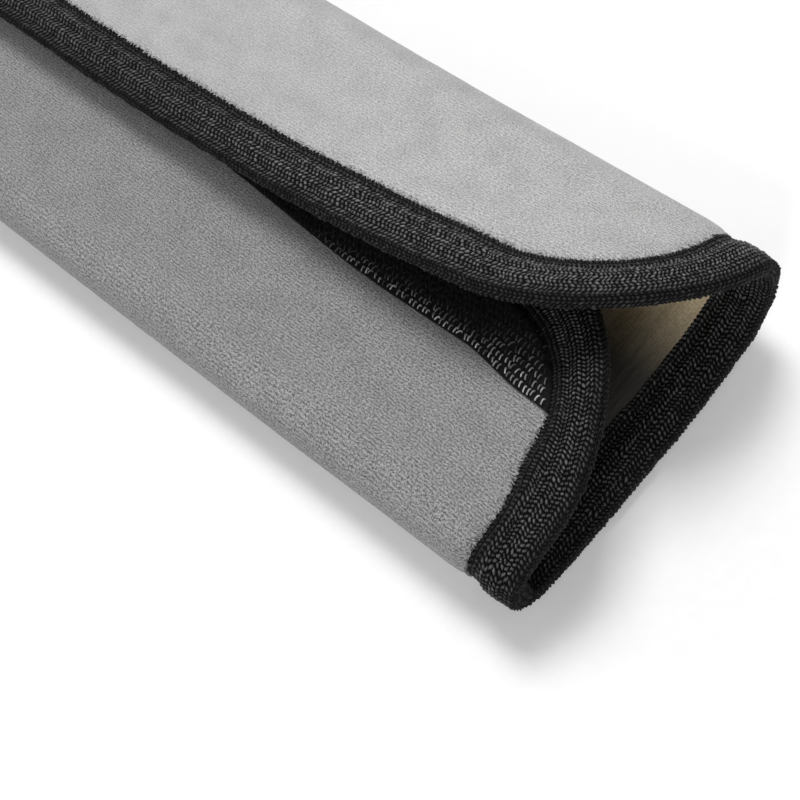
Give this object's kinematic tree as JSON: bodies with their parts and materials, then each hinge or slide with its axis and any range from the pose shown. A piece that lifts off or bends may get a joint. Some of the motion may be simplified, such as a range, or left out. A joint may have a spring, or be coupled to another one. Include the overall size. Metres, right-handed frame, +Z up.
{
  "type": "seat belt shoulder pad",
  "caption": "Padded fabric sleeve with taped rims that wraps round a shoulder belt and laps shut with hook and loop strips.",
  "frame": {"origin": "under the middle of the sleeve, on the surface that it lies on", "axes": "+X along the sleeve towards the end that stands open, +Y towards the fold of the flap, +Z up"},
  "size_m": [0.24, 0.0663, 0.0331],
  "materials": {
    "grey_plush": "short-pile grey plush, matt with a faint sheen",
    "foam": "open-cell foam sheet",
    "tan_lining": "fine tan knit",
    "black_webbing": "ribbed black woven tape",
    "black_hooks": "black hook tape, rows of small shiny hooks",
    "black_loops": "black looped pile"
  },
  "bodies": {
    "root": {"outer_cover": "grey_plush", "foam_core": "foam", "inner_lining": "tan_lining", "binding_tape": "black_webbing", "hook_strip": "black_hooks", "loop_strip": "black_loops"}
  },
  "joints": []
}
